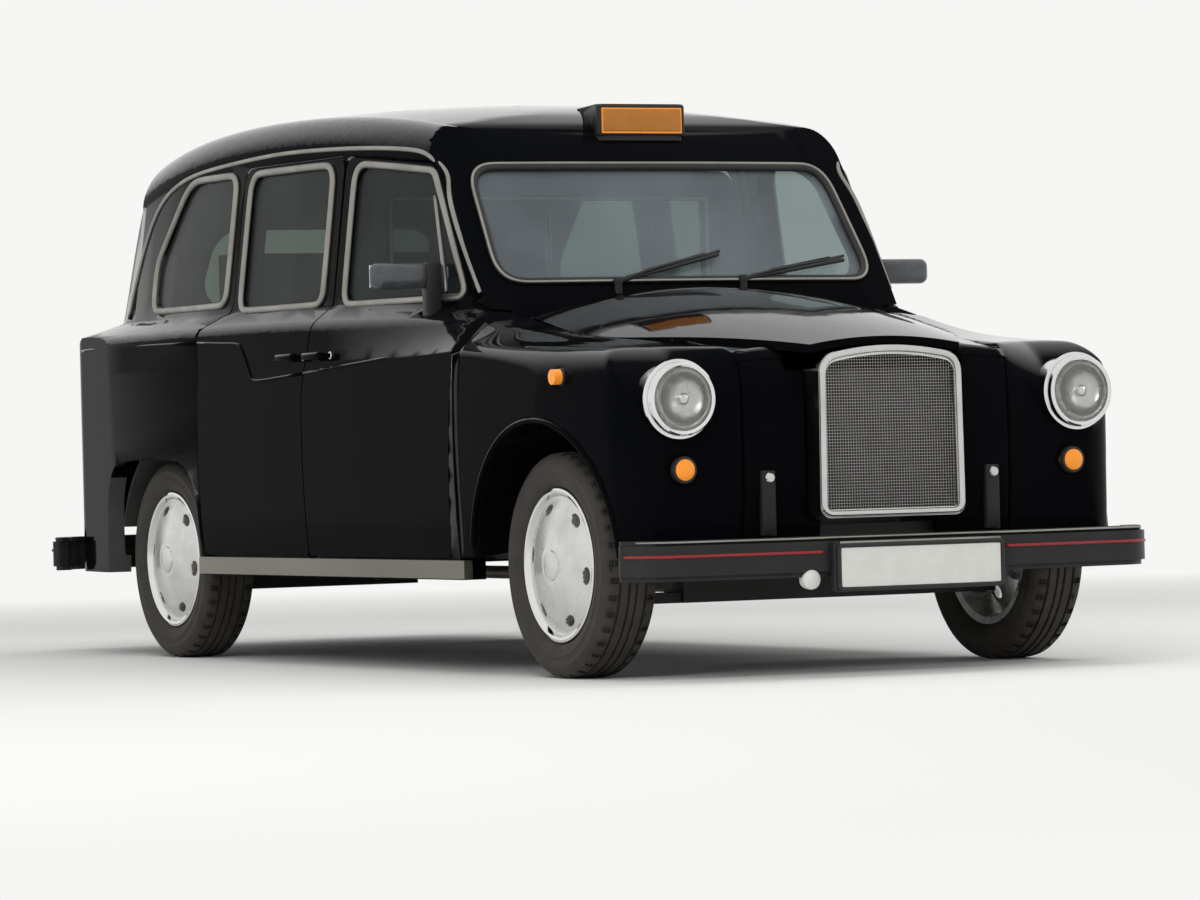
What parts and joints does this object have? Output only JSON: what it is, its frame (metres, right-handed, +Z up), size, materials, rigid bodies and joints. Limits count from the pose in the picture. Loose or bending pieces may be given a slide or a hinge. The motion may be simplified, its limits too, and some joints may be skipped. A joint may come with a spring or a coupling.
{
  "type": "taxi cab",
  "caption": "Purpose-built black taxi cab with a tall rounded cabin, side doors, upright grille, round lamps and a blank roof sign.",
  "frame": {"origin": "on the ground, under the middle of the overall box", "axes": "+X forward along the cab, +Y to its left, +Z up"},
  "size_m": [4.57, 1.85, 1.7671],
  "materials": {
    "black_paint": "gloss black coachwork paint",
    "chassis_black": "satin black chassis paint, dusty",
    "engine_metal": "grey cast iron",
    "exhaust_steel": "dull aluminised steel",
    "grey_chrome": "bright chrome",
    "grille_grey": "grey painted grille",
    "chrome": "bright chrome",
    "lamp_glass": "clear ribbed glass",
    "amber_lens": "translucent amber lens",
    "red_lens": "translucent red lens",
    "window_glass": "lightly tinted glass",
    "bumper_black": "satin black",
    "plate_white": "blank off-white plate",
    "sill_steel": "polished stainless strip",
    "dash_grey": "grained dark grey",
    "column_black": "grained black",
    "seat_trim": "dark grey vinyl",
    "wheel_silver": "silver wheel trim",
    "tyre_rubber": "dusty black rubber"
  },
  "bodies": {
    "cab": {"body_shell": "black_paint", "floor_pan": "chassis_black", "chassis_frame": "chassis_black", "front_wing_right": "black_paint", "front_wing_left": "black_paint", "front_panel": "black_paint", "grille_surround": "grey_chrome", "grille_mesh": "grille_grey", "headlamps": "chrome", "headlamp_lenses": "lamp_glass", "indicator_lamps": "amber_lens", "tail_lamps": "red_lens", "windscreen": "window_glass", "rear_window": "window_glass", "quarter_windows": "window_glass", "bumper_front": "bumper_black", "bumper_rear": "bumper_black", "number_plates": "plate_white", "sill_strips": "sill_steel", "roof_sign": "bumper_black", "roof_sign_lens": "amber_lens", "wipers": "bumper_black", "engine_block": "engine_metal", "dashboard": "dash_grey", "steering_column": "column_black", "partition": "dash_grey", "driver_seat": "seat_trim", "rear_seat": "seat_trim", "fuel_tank": "chassis_black", "exhaust": "exhaust_steel", "propshaft": "chassis_black", "front_suspension": "chassis_black", "rear_axle": "chassis_black", "leaf_springs": "chassis_black"},
    "bonnet": {"bonnet": "black_paint"},
    "boot_lid": {"boot_lid": "black_paint"},
    "steering_wheel": {"steering_wheel": "column_black"},
    "door_front_right": {"door_front_right": "black_paint", "window_front_right": "window_glass", "mirror_right": "bumper_black"},
    "door_rear_right": {"door_rear_right": "black_paint", "window_rear_right": "window_glass"},
    "knuckle_right": {"knuckle_right": "chassis_black"},
    "wheel_front_right": {"wheel_front_right": "wheel_silver", "tyre_front_right": "tyre_rubber"},
    "wheel_rear_right": {"wheel_rear_right": "wheel_silver", "tyre_rear_right": "tyre_rubber"},
    "door_front_left": {"door_front_left": "black_paint", "window_front_left": "window_glass", "mirror_left": "bumper_black"},
    "door_rear_left": {"door_rear_left": "black_paint", "window_rear_left": "window_glass"},
    "knuckle_left": {"knuckle_left": "chassis_black"},
    "wheel_front_left": {"wheel_front_left": "wheel_silver", "tyre_front_left": "tyre_rubber"},
    "wheel_rear_left": {"wheel_rear_left": "wheel_silver", "tyre_rear_left": "tyre_rubber"}
  },
  "joints": [
    {"name": "door_front_right_hinge", "type": "hinge", "parent": "cab", "child": "door_front_right", "pos_m": [1.074, -0.874, 0.7], "axis": [0, 0, 1], "range_deg": [0, 65]},
    {"name": "door_front_left_hinge", "type": "hinge", "parent": "cab", "child": "door_front_left", "pos_m": [1.074, 0.874, 0.7], "axis": [0, 0, -1], "range_deg": [0, 65]},
    {"name": "door_rear_right_hinge", "type": "hinge", "parent": "cab", "child": "door_rear_right", "pos_m": [-0.823, -0.874, 0.7], "axis": [0, 0, -1], "range_deg": [0, 70]},
    {"name": "door_rear_left_hinge", "type": "hinge", "parent": "cab", "child": "door_rear_left", "pos_m": [-0.823, 0.874, 0.7], "axis": [0, 0, 1], "range_deg": [0, 70]},
    {"name": "bonnet_hinge", "type": "hinge", "parent": "cab", "child": "bonnet", "pos_m": [1.088, 0, 1.112], "axis": [0, -1, 0], "range_deg": [0, 50]},
    {"name": "boot_lid_hinge", "type": "hinge", "parent": "cab", "child": "boot_lid", "pos_m": [-1.838, 0, 1.114], "axis": [0, 1, 0], "range_deg": [0, 75]},
    {"name": "steer_right", "type": "hinge", "parent": "cab", "child": "knuckle_right", "pos_m": [1.57, -0.62, 0.325], "axis": [0, 0, 1], "range_deg": [-33, 33]},
    {"name": "steer_left", "type": "hinge", "parent": "cab", "child": "knuckle_left", "pos_m": [1.57, 0.62, 0.325], "axis": [0, 0, 1], "range_deg": [-33, 33]},
    {"name": "steering_wheel_turn", "type": "hinge", "parent": "cab", "child": "steering_wheel", "pos_m": [0.64, -0.37, 1.03], "axis": [-0.6392, 0, 0.769], "range_deg": [-480, 480]},
    {"name": "wheel_front_right_spin", "type": "hinge", "parent": "knuckle_right", "child": "wheel_front_right", "pos_m": [1.57, -0.711, 0.325], "axis": [0, 1, 0], "continuous": true},
    {"name": "wheel_rear_right_spin", "type": "hinge", "parent": "cab", "child": "wheel_rear_right", "pos_m": [-1.24, -0.711, 0.325], "axis": [0, 1, 0], "continuous": true},
    {"name": "wheel_front_left_spin", "type": "hinge", "parent": "knuckle_left", "child": "wheel_front_left", "pos_m": [1.57, 0.711, 0.325], "axis": [0, 1, 0], "continuous": true},
    {"name": "wheel_rear_left_spin", "type": "hinge", "parent": "cab", "child": "wheel_rear_left", "pos_m": [-1.24, 0.711, 0.325], "axis": [0, 1, 0], "continuous": true}
  ],
  "couplings": [
    {"joint": "steer_left", "follows": "steer_right", "ratio": 1},
    {"joint": "steering_wheel_turn", "follows": "steer_right", "ratio": 14}
  ]
}
